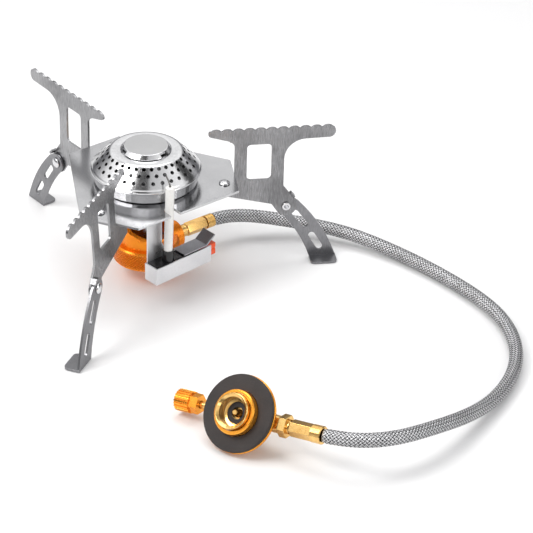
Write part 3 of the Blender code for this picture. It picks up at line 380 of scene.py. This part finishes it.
def makeHose():
    # a tube whose wall rises where one strand crosses over another
    line, length = hoseLine()
    around, strands, relief = hoseSet["around"], hoseSet["strands"], hoseSet["relief"]
    plain, sunk = hoseSet["plainEnd"], hoseSet["sunk"]
    low = hoseSet["diameter"] / 2 - relief
    points, faces, weave = [], [], []
    across = Vector((0, 0, 1))
    for i, at in enumerate(line):
        along = (line[min(i + 1, len(line) - 1)] - line[max(i - 1, 0)]).normalized()
        across = (across - along * across.dot(along)).normalized()
        other = along.cross(across)
        walked = length * i / (len(line) - 1)
        fade = min(1.0, walked / plain, (length - walked) / plain)
        row = []
        for k in range(around + 1):
            a = (k / around + walked / hoseSet["perTurn"]) * strands
            b = (k / around - walked / hoseSet["perTurn"]) * strands
            row.append((a, b))
            if k == around:
                continue
            over, under = (b, a) if (math.floor(a) + math.floor(b)) % 2 else (a, b)
            flat = 1 - abs(2 * (over % 1) - 1) ** 4
            crown = sin(pi * (under % 1))
            out = low + relief * fade * flat * (sunk + (1 - sunk) * crown)
            angle = tau * k / around
            points.append(at + (across * cos(angle) + other * sin(angle)) * out)
        weave.append(row)
    rows = len(line)
    uvs = []
    for i in range(rows - 1):
        for k in range(around):
            n = (k + 1) % around
            faces.append((i * around + k, i * around + n, (i + 1) * around + n, (i + 1) * around + k))
            uvs += [weave[i][k], weave[i][k + 1], weave[i + 1][k + 1], weave[i + 1][k]]
    faces.append(tuple(range(around))[::-1])
    faces.append(tuple((rows - 1) * around + k for k in range(around)))
    uvs += [(0, 0)] * (2 * around)
    mesh = bpy.data.meshes.new("braidedHose")
    mesh.from_pydata([tuple(p) for p in points], [], faces)
    layer = mesh.uv_layers.new(name="weave")
    layer.data.foreach_set("uv", [c for uv in uvs for c in uv])
    mesh.shade_smooth()
    hose = bpy.data.objects.new("braidedHose", mesh)
    scene.collection.objects.link(hose)
    mesh.materials.append(braidFinish())
    mesh.validate()
    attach(hose, "stove")
    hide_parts("gas_hose")
    path = [tuple(p) for p in line[::hoseSet["pathEvery"]]] + [tuple(line[-1])]
    return hose, path, length


def braidFinish():
    # each strand is a few wires side by side, with painted highlight and shade across each wire and painted
    # shade in the gaps between the strands
    made = bpy.data.materials.new("wovenSteelWire")
    made.use_nodes = True
    tree = made.node_tree
    shader = tree.nodes["Principled BSDF"]
    uv = addNode(tree, "ShaderNodeUVMap", uv_map="weave")
    split = addNode(tree, "ShaderNodeSeparateXYZ", {0: uv.outputs[0]})
    a, b = split.outputs["X"], split.outputs["Y"]
    cells = mathNode(tree, "ADD", mathNode(tree, "FLOOR", a), mathNode(tree, "FLOOR", b))
    odd = mathNode(tree, "GREATER_THAN", mathNode(tree, "FLOORED_MODULO", cells, 2.0), 0.5)
    pick = addNode(tree, "ShaderNodeMix", {"Factor": odd, "A": a, "B": b}, data_type="FLOAT")
    wires = mathNode(tree, "SINE", mathNode(tree, "MULTIPLY", pick.outputs[0], tau * braidSet["wires"]))
    edge = mathNode(tree, "ABSOLUTE", mathNode(tree, "SUBTRACT", mathNode(
        tree, "FLOORED_MODULO", pick.outputs[0], 1.0), 0.5))
    gapShadeMask = mathNode(tree, "GREATER_THAN", edge, braidSet["gap"])
    place = addNode(tree, "ShaderNodeTexCoord").outputs["Object"]
    grain = addNode(tree, "ShaderNodeGroup", node_tree=grainGroup)
    tree.links.new(place, grain.inputs["Vector"])
    dull, bright = braidSet["shade"]
    # painted highlight on each wire's crown and painted shade at its sides
    shade = addNode(tree, "ShaderNodeMapRange", {"Value": wires, "From Min": -1.0, "From Max": 1.0,
                                                 "To Min": dull, "To Max": bright})
    share, base = braidSet["smudge"]
    wireShadeAndSmudge = mathNode(tree, "MULTIPLY", shade.outputs[0], mathNode(
        tree, "ADD", mathNode(tree, "MULTIPLY", grain.outputs["Smudges"], share), base))
    # painted shade in the gaps between the strands
    dark = mathNode(tree, "MULTIPLY", wireShadeAndSmudge, mathNode(tree, "SUBTRACT", 1.0, mathNode(
        tree, "MULTIPLY", gapShadeMask, braidSet["gapShade"])))
    blue = mathNode(tree, "MULTIPLY", dark, braidSet["blue"])
    colour = addNode(tree, "ShaderNodeCombineColor", {"Red": dark, "Green": dark, "Blue": blue})
    tree.links.new(colour.outputs[0], shader.inputs["Base Color"])
    shader.inputs["Metallic"].default_value = 1.0
    smooth, coarse = braidSet["rough"]
    rough = addNode(tree, "ShaderNodeMapRange", {"Value": grain.outputs["Grain"], "To Min": smooth,
                                                 "To Max": coarse})
    tree.links.new(rough.outputs[0], shader.inputs["Roughness"])
    relief = addNode(tree, "ShaderNodeBump", {"Height": wires, "Strength": braidSet["bump"],
                                              "Distance": braidSet["wireDepth"]})
    tree.links.new(relief.outputs["Normal"], shader.inputs["Normal"])
    return made


hose, hosePath, hoseLength = makeHose()
print("hose is laid,", round(hoseLength, 4), "m")


def only(obj):
    deselect()
    obj.select_set(True)
    bpy.context.view_layer.objects.active = obj


def settle(obj, place):
    # its place goes into its mesh, as a CAD node's does
    bpy.context.view_layer.update()
    obj.matrix_world = place @ obj.matrix_world
    only(obj)
    bpy.ops.object.transform_apply(location=True, rotation=True, scale=True)


def applyModifiers(obj):
    only(obj)
    for modifier in list(obj.modifiers):
        bpy.ops.object.modifier_apply(modifier=modifier.name)


def softEdges(obj, width, segments=2, angle=35):
    bevel = obj.modifiers.new("softEdges", "BEVEL")
    bevel.width, bevel.segments = width, segments
    bevel.limit_method, bevel.angle_limit = "ANGLE", radians(angle)
    bevel.use_clamp_overlap = True
    applyModifiers(obj)
    bpy.ops.object.shade_smooth_by_angle(angle=radians(angle))
    flatter = obj.modifiers.new("flatFaces", "WEIGHTED_NORMAL")   # broad faces keep their own shading
    flatter.keep_sharp, flatter.weight = True, 90
    applyModifiers(obj)


turnSet = {"least": 0.01, "merge": 0.000015}   # the smallest ring, in mm, and what closes a pole, in metres


def turnPiece(name, profile, steps, place):
    # a circle extruded from ring to ring, in mm; a profile that starts on the axis is capped
    least = turnSet["least"]
    onAxis = profile[0][0] == 0
    rings = list(profile) if onAxis else list(profile) + [profile[0]]
    deselect()
    bpy.ops.mesh.primitive_circle_add(vertices=steps, radius=max(rings[0][0], least) * mm)
    piece = bpy.context.object
    piece.name = name
    bpy.ops.object.mode_set(mode="EDIT")
    bpy.ops.mesh.select_all(action="SELECT")
    bpy.ops.transform.translate(value=(0, 0, rings[0][1] * mm))
    if onAxis:
        bpy.ops.mesh.edge_face_add()
    for (r0, z0), (r1, z1) in zip(rings, rings[1:]):
        bpy.ops.mesh.extrude_region_move(TRANSFORM_OT_translate={"value": (0, 0, (z1 - z0) * mm)})
        scale = max(r1, least) / max(r0, least)
        bpy.ops.transform.resize(value=(scale, scale, 1), center_override=(0, 0, z1 * mm))
    bpy.ops.mesh.select_all(action="SELECT")
    bpy.ops.mesh.remove_doubles(threshold=turnSet["merge"])
    bpy.ops.mesh.normals_make_consistent(inside=False)
    bpy.ops.object.mode_set(mode="OBJECT")
    settle(piece, place)
    return piece


def cut(piece, tool):
    carve = piece.modifiers.new("carve", "BOOLEAN")
    carve.operation, carve.solver, carve.object = "DIFFERENCE", "EXACT", tool
    applyModifiers(piece)
    bpy.data.objects.remove(tool)


def around(angle):
    # about the burner's axis
    return Matrix.Translation(burnerAxis) @ Matrix.Rotation(angle, 4, "Z")


copySet = {"merge": 0.00001, "flatWithin": radians(2.0)}   # joins the loose triangles into whole faces


def refinedCopy(node, name, body, finishName, width):
    # the same shape with its cut edges rounded over
    source = frame["nodes"][node]
    piece = source.copy()
    piece.data = source.data.copy()
    piece.name = name
    scene.collection.objects.link(piece)
    piece.hide_render = piece.hide_viewport = False
    for modifier in list(piece.modifiers):
        piece.modifiers.remove(modifier)
    only(piece)
    bpy.ops.object.mode_set(mode="EDIT")
    bpy.ops.mesh.select_all(action="SELECT")
    bpy.ops.mesh.remove_doubles(threshold=copySet["merge"])
    bpy.ops.mesh.dissolve_limited(angle_limit=copySet["flatWithin"])
    bpy.ops.object.mode_set(mode="OBJECT")
    softEdges(piece, width)
    dress(piece, body, finishName)
    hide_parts(node)
    return piece


def dress(piece, body, finishName):
    piece.data.materials.clear()
    piece.data.materials.append(finish(finishName))
    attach(piece, body)


capSet = {
    # outlines in mm, as distance from the axis and height
    "coneFoot": (29.4, 70.0), "coneTop": (20.3, 79.1), "roof": 79.5, "sides": 128,
    "skin": [(30.2, 67.2), (30.75, 67.3), (31.0, 67.6), (31.0, 68.1), (30.8, 68.5), (30.3, 68.75),
             (29.95, 69.3), (29.4, 70.0), (24.9, 74.6), (20.9, 78.6), (20.3, 79.1), (19.6, 79.4),
             (18.8, 79.5), (15.6, 79.5), (15.2, 79.35), (13.0, 79.35), (13.0, 78.6), (18.6, 78.6),
             (19.4, 78.3), (24.2, 73.7), (28.7, 69.2), (29.5, 68.3), (29.7, 67.6)],
    "rows": ((21.4, 1.12), (24.2, 1.16), (27.2, 1.16)), "ports": 32, "portSides": 12, "portDepth": 4,
    "edge": 0.14, "segments": 2, "sharp": 40, "shadeFrom": 0.4, "shadeWithin": 29.6,
    "hat": [(0, 82.0), (11.9, 82.0), (12.15, 81.95), (12.35, 81.75), (14.1, 79.95), (14.25, 79.7),
            (14.0, 79.66), (13.2, 79.66), (11.6, 81.2), (0, 81.2)],
    "hatSides": 96, "hatTop": 81.9, "hatEdge": 0.08,
    "notches": (207.4, 319.1, 83.0), "notch": (1.9, 4.0, 2.4), "notchAt": (13.2, 80.6),
}


def portPegs(lean):
    # one peg is modelled and then copied round all three rows
    footRadius, footHeight = capSet["coneFoot"]
    deselect()
    pegs = []
    for row, (radius, size) in enumerate(capSet["rows"]):
        z = footHeight + (footRadius - radius) * math.tan(lean)
        for k in range(capSet["ports"]):
            turn = around(tau * (k + 0.5 * (row % 2)) / capSet["ports"])
            place = turn @ Matrix.Translation((radius * mm, 0, z * mm))
            place = place @ Matrix.Rotation(pi / 2 - lean, 4, "Y")
            if not pegs:
                bpy.ops.mesh.primitive_cylinder_add(
                    vertices=capSet["portSides"], radius=size * mm, depth=capSet["portDepth"] * mm)
                peg = bpy.context.object
            else:
                peg = pegs[0].copy()
                peg.data = pegs[0].data.copy()
                scene.collection.objects.link(peg)
            peg.matrix_world = place
            pegs.append(peg)
    bpy.context.view_layer.update()
    deselect()
    for peg in pegs:
        peg.select_set(True)
    bpy.context.view_layer.objects.active = pegs[0]
    bpy.ops.object.join()
    return pegs[0]


def makeCap():
    (footRadius, footHeight), (topRadius, topHeight) = capSet["coneFoot"], capSet["coneTop"]
    lean = math.atan2(topHeight - footHeight, footRadius - topRadius)
    skin = turnPiece("portedCap", capSet["skin"], capSet["sides"], around(0))
    cut(skin, portPegs(lean))
    softEdges(skin, capSet["edge"] * mm, capSet["segments"], capSet["sharp"])
    dress(skin, "stove", "capSteel")
    skin.data.materials.append(finish("portShadeSteel"))
    for face in skin.data.polygons:   # the walls of the ports and the underside are painted near black as shade
        out = (face.center - burnerAxis) / mm
        cone = footHeight + (footRadius - out.xy.length) * math.tan(lean)
        inShade = min(capSet["roof"], cone) - out.z > capSet["shadeFrom"]
        face.material_index = 1 if inShade and out.xy.length < capSet["shadeWithin"] else 0
    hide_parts("burner_cap")


def makeCapDisc():
    hat = turnPiece("capDisc", capSet["hat"], capSet["hatSides"], around(0))
    out, height = capSet["notchAt"]
    for angle in capSet["notches"]:
        deselect()
        bpy.ops.mesh.primitive_cube_add(size=1)
        block = bpy.context.object
        block.scale = Vector(capSet["notch"]) * mm
        settle(block, around(radians(angle)) @ Matrix.Translation((out * mm, 0, height * mm)))
        cut(hat, block)
    softEdges(hat, capSet["hatEdge"] * mm, capSet["segments"], capSet["sharp"])
    dress(hat, "stove", "discSteel")
    hat.data.materials.append(finish("capSteel"))
    for face in hat.data.polygons:   # only the flat top is matt
        flat = face.normal.z > 0.99 and face.center.z > capSet["hatTop"] * mm
        face.material_index = 0 if flat else 1
    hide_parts("cap_disc")


makeCap()
makeCapDisc()
print("cap is done")


# in mm, with the number of points round the band and of rows up it
bandSet = {"radius": 18.35, "low": 11.0, "high": 20.8, "across": 132, "rows": 12, "proud": 0.62,
           "wall": 0.5, "cutShade": (0.34, 0.055, 0.001, 1)}


def makeBand():
    low, high, count, rows = (bandSet[k] for k in ("low", "high", "across", "rows"))
    rise = (high - low) / rows
    deselect()
    bpy.ops.mesh.primitive_circle_add(vertices=count, radius=bandSet["radius"] * mm)
    band = bpy.context.object
    band.name = "knurledBand"
    bpy.ops.object.mode_set(mode="EDIT")
    bpy.ops.mesh.select_all(action="SELECT")
    bpy.ops.transform.translate(value=(0, 0, low * mm))
    for _ in range(rows):
        bpy.ops.mesh.extrude_region_move(TRANSFORM_OT_translate={"value": (0, 0, rise * mm)})
    # every second point of the net is pulled out, which leaves rows of small pyramids
    bpy.ops.mesh.select_all(action="DESELECT")
    bpy.ops.object.mode_set(mode="OBJECT")
    for point in band.data.vertices:
        row = round((point.co.z / mm - low) / rise)
        step = round(math.atan2(point.co.y, point.co.x) / tau * count)
        point.select = (row + step) % 2 == 0 and 0 < row < rows
    bpy.ops.object.mode_set(mode="EDIT")
    scale = 1 + bandSet["proud"] / bandSet["radius"]
    bpy.ops.transform.resize(value=(scale, scale, 1), center_override=(0, 0, 0))
    bpy.ops.mesh.select_all(action="SELECT")
    bpy.ops.mesh.normals_make_consistent(inside=False)
    bpy.ops.object.mode_set(mode="OBJECT")
    wall = band.modifiers.new("wall", "SOLIDIFY")
    wall.thickness, wall.offset = bandSet["wall"] * mm, -1
    applyModifiers(band)
    settle(band, around(feedTurn))
    dress(band, "stove", "orangeAnodised")
    band.data.materials[0] = knurlFinish()


def knurlFinish():
    # the anodised orange, with painted shade down in the grooves of the knurl
    made = finish("orangeAnodised").copy()
    made.name = "knurledOrange"
    tree = made.node_tree
    shader = tree.nodes["Principled BSDF"]
    flat = addNode(tree, "ShaderNodeMapping", {
        "Scale": (1, 1, 0), "Location": (-burnerAxis.x, -burnerAxis.y, 0)}, vector_type="POINT")
    tree.links.new(addNode(tree, "ShaderNodeTexCoord").outputs["Object"], flat.inputs["Vector"])
    reach = addNode(tree, "ShaderNodeVectorMath", {0: flat.outputs[0]}, operation="LENGTH")
    deep = addNode(tree, "ShaderNodeMapRange", {
        "Value": reach.outputs["Value"], "From Min": bandSet["radius"] * mm,
        "From Max": (bandSet["radius"] + bandSet["proud"]) * mm})
    # painted shade: darker the nearer a point lies to the bottom of the knurl's grooves
    was = shader.inputs["Base Color"].links[0].from_socket
    mixed = addNode(tree, "ShaderNodeMix", data_type="RGBA")
    tree.links.new(deep.outputs[0], mixed.inputs["Factor"])
    mixed.inputs["A"].default_value = bandSet["cutShade"]
    tree.links.new(was, mixed.inputs["B"])
    tree.links.new(mixed.outputs["Result"], shader.inputs["Base Color"])
    return made


makeBand()
print("cup band is knurled")


valveSet = {"place": (0.042991, -0.150477, 0.0131), "turned": -32, "tipped": -8, "rolled": 51.4}
mouthSet = {
    # outlines in mm along the valve's own axis
    "lip": [(2.4, 5.2), (9.7, 5.2), (9.7, 15.3), (9.5, 15.65), (9.2, 15.8), (8.9, 15.75), (8.6, 15.4)],
    "seat": [(7.6, 9.2), (6.0, 9.0), (6.0, 7.4), (2.4, 7.4)],
    "thread": ((7.6, 0.12), (7.6, 0.45), (8.45, 0.8), (8.45, 1.1)), "threadFrom": 14.9, "threadTo": 9.6,
    "pitch": 1.35, "sides": 96, "edge": 0.05, "segments": 1, "sharp": 30,
    "rootRadius": (7.9, 8.55), "rootHeight": (9.0, 15.0),
}


def valvePlace():
    level = Matrix.Translation(valveSet["place"]) @ Matrix.Rotation(radians(valveSet["turned"]), 4, "Z")
    tipped = level @ Matrix.Rotation(radians(valveSet["tipped"]), 4, "Y")
    return tipped @ Matrix.Rotation(radians(valveSet["rolled"]), 4, "X")


def makeMouth():
    # the thread is a row of rings
    profile = list(mouthSet["lip"])
    z = mouthSet["threadFrom"]
    while z > mouthSet["threadTo"]:
        profile += [(radius, z - down) for radius, down in mouthSet["thread"]]
        z -= mouthSet["pitch"]
    profile += mouthSet["seat"]
    mouth = turnPiece("threadedMouth", profile, mouthSet["sides"], valvePlace())
    softEdges(mouth, mouthSet["edge"] * mm, mouthSet["segments"], mouthSet["sharp"])
    dress(mouth, "stove", "brightBrass")
    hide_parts("coupling_insert")
    mouth.data.materials.append(finish("shadedBrass"))   # painted shade in the roots of the thread
    inward = valvePlace().inverted()
    (inner, outer), (low, high) = mouthSet["rootRadius"], mouthSet["rootHeight"]
    for face in mouth.data.polygons:
        x, y, z = (inward @ face.center) / mm
        if inner < math.hypot(x, y) < outer and low < z < high:
            face.material_index = 1
    return mouth


mouth = makeMouth()
print("valve mouth is threaded")


refined = {
    # sheet parts and fittings, with their cut edges rounded
    # CAD node: (name, body, slot, finish, edge in mm)
    "main_plate": ("mainPlate", "stove", "plate_steel", "plateSteel", 0.22),
    "right_support": ("rightSupport", "right_arm", "support_steel", "supportSteel", 0.20),
    "left_support": ("leftSupport", "left_arm", "support_steel", "supportSteel", 0.20),
    "front_support": ("frontSupport", "front_arm", "support_steel", "supportSteel", 0.20),
    "right_leg": ("rightLeg", "right_foot", "leg_steel", "legSteel", 0.20),
    "left_leg": ("leftLeg", "left_foot", "leg_steel", "legSteel", 0.20),
    "front_leg": ("frontLeg", "front_foot", "leg_steel", "legSteel", 0.20),
    "igniter_bracket": ("igniterTray", "stove", "igniter_case", "trayAlloy", 0.16),
    "piezo_body": ("piezoBody", "stove", "piezo_black", "blackPlastic", 0.22),
    "igniter_clip": ("igniterClip", "stove", "igniter_strip", "clipSteel", 0.14),
    "igniter_button": ("igniterButton", "button", "button_red", "redPlastic", 0.28),
    "base_cup": ("baseCup", "stove", "orange_anodised", "orangeAnodised", 0.30),
    "flow_knob": ("flowKnob", "knob", "orange_anodised", "flangeAnodised", 0.10),
    "gland_nut": ("glandNut", "stove", "brass_fittings", "brightBrass", 0.14),
    "outlet_nut": ("outletNut", "stove", "brass_fittings", "brightBrass", 0.16),
    "outlet_crimp": ("outletCrimp", "stove", "brass_fittings", "brightBrass", 0.16),
    "inlet_nut": ("inletNut", "stove", "brass_fittings", "brightBrass", 0.14),
    "adapter_flange": ("adapterFlange", "stove", "orange_anodised", "flangeAnodised", 0.12),
}
rounded = {node: refinedCopy(node, name, body, look, edge * mm)
           for node, (name, body, slot, look, edge) in refined.items()}
print("edges are rounded on", len(rounded), "pieces")


eyeletSet = {"bore": 1.35, "depth": 4.4, "edge": 0.1, "endFace": 0.05, "sides": 24}   # in mm


def makeEyelet(side):
    # the rivet that a leg folds on, drilled hollow at its flat end
    node = side + "_leg_rivet"
    eyelet = refinedCopy(node, side + "Eyelet", side + "_arm", "rivetSteel",
                         eyeletSet["edge"] * mm)
    joint = next(j for j in frame["joints"] if j["name"] == side + "_leg_fold")
    middle = sum((Vector(v.co) for v in eyelet.data.vertices), Vector()) / len(eyelet.data.vertices)
    along = Vector(joint["axis"]).normalized()
    reach = [(v.co - middle).dot(along) for v in eyelet.data.vertices]
    ends = []
    for sign in (-1, 1):
        far = max(sign * r for r in reach)
        ring = [v.co for v, r in zip(eyelet.data.vertices, reach)
                if far - sign * r < eyeletSet["endFace"] * mm]
        centre = sum(ring, Vector()) / len(ring)
        ends.append((max((p - centre).length for p in ring), centre))
    _, centre = max(ends, key=lambda end: end[0])   # the flat end, not the dome
    deselect()
    bpy.ops.mesh.primitive_cylinder_add(
        vertices=eyeletSet["sides"], radius=eyeletSet["bore"] * mm, depth=eyeletSet["depth"] * mm)
    drill = bpy.context.object
    settle(drill, Matrix.Translation(centre) @ along.to_track_quat("Z", "Y").to_matrix().to_4x4())
    cut(eyelet, drill)


for side in ("right", "left", "front"):
    makeEyelet(side)
print("eyelets are drilled")


kept = {
    # CAD nodes shown as they are, and their finishes
    "burner_pan": "plateSteel", "mixing_tube": "tubeSteel", "jet_holder": "brightBrass",
    "gas_jet": "brightBrass", "inlet_sleeve": "brightBrass", "button_spring": "wireSteel",
    "electrode_boot": "blackPlastic", "electrode_tube": "whiteCeramic", "electrode_wire": "wireSteel",
    "valve_body": "brightBrass", "spindle_seal": "blackRubber", "needle_spindle": "brightBrass",
    "flange_gasket": "blackRubber", "coupling_seal": "blackRubber", "coupling_pin": "brightBrass",
    "outlet_sleeve": "brightBrass", "front_cup_screw": "rivetSteel", "back_cup_screw": "rivetSteel",
    "right_arm_rivet": "rivetSteel", "left_arm_rivet": "rivetSteel", "front_arm_rivet": "rivetSteel",
}
for node, look in kept.items():
    for slotOf in frame["nodes"][node].material_slots:
        slotOf.material = finish(look)
print("finishes are on the kept nodes")

# what hangs on the hose's far end and moves with it
onHose = [rounded[n] for n in ("outlet_nut", "outlet_crimp", "gland_nut", "flow_knob", "adapter_flange")]
onHose.append(mouth)
onHose += [frame["nodes"][n] for n in ("outlet_sleeve", "valve_body", "spindle_seal", "needle_spindle",
                                       "flange_gasket", "coupling_seal", "coupling_pin")]
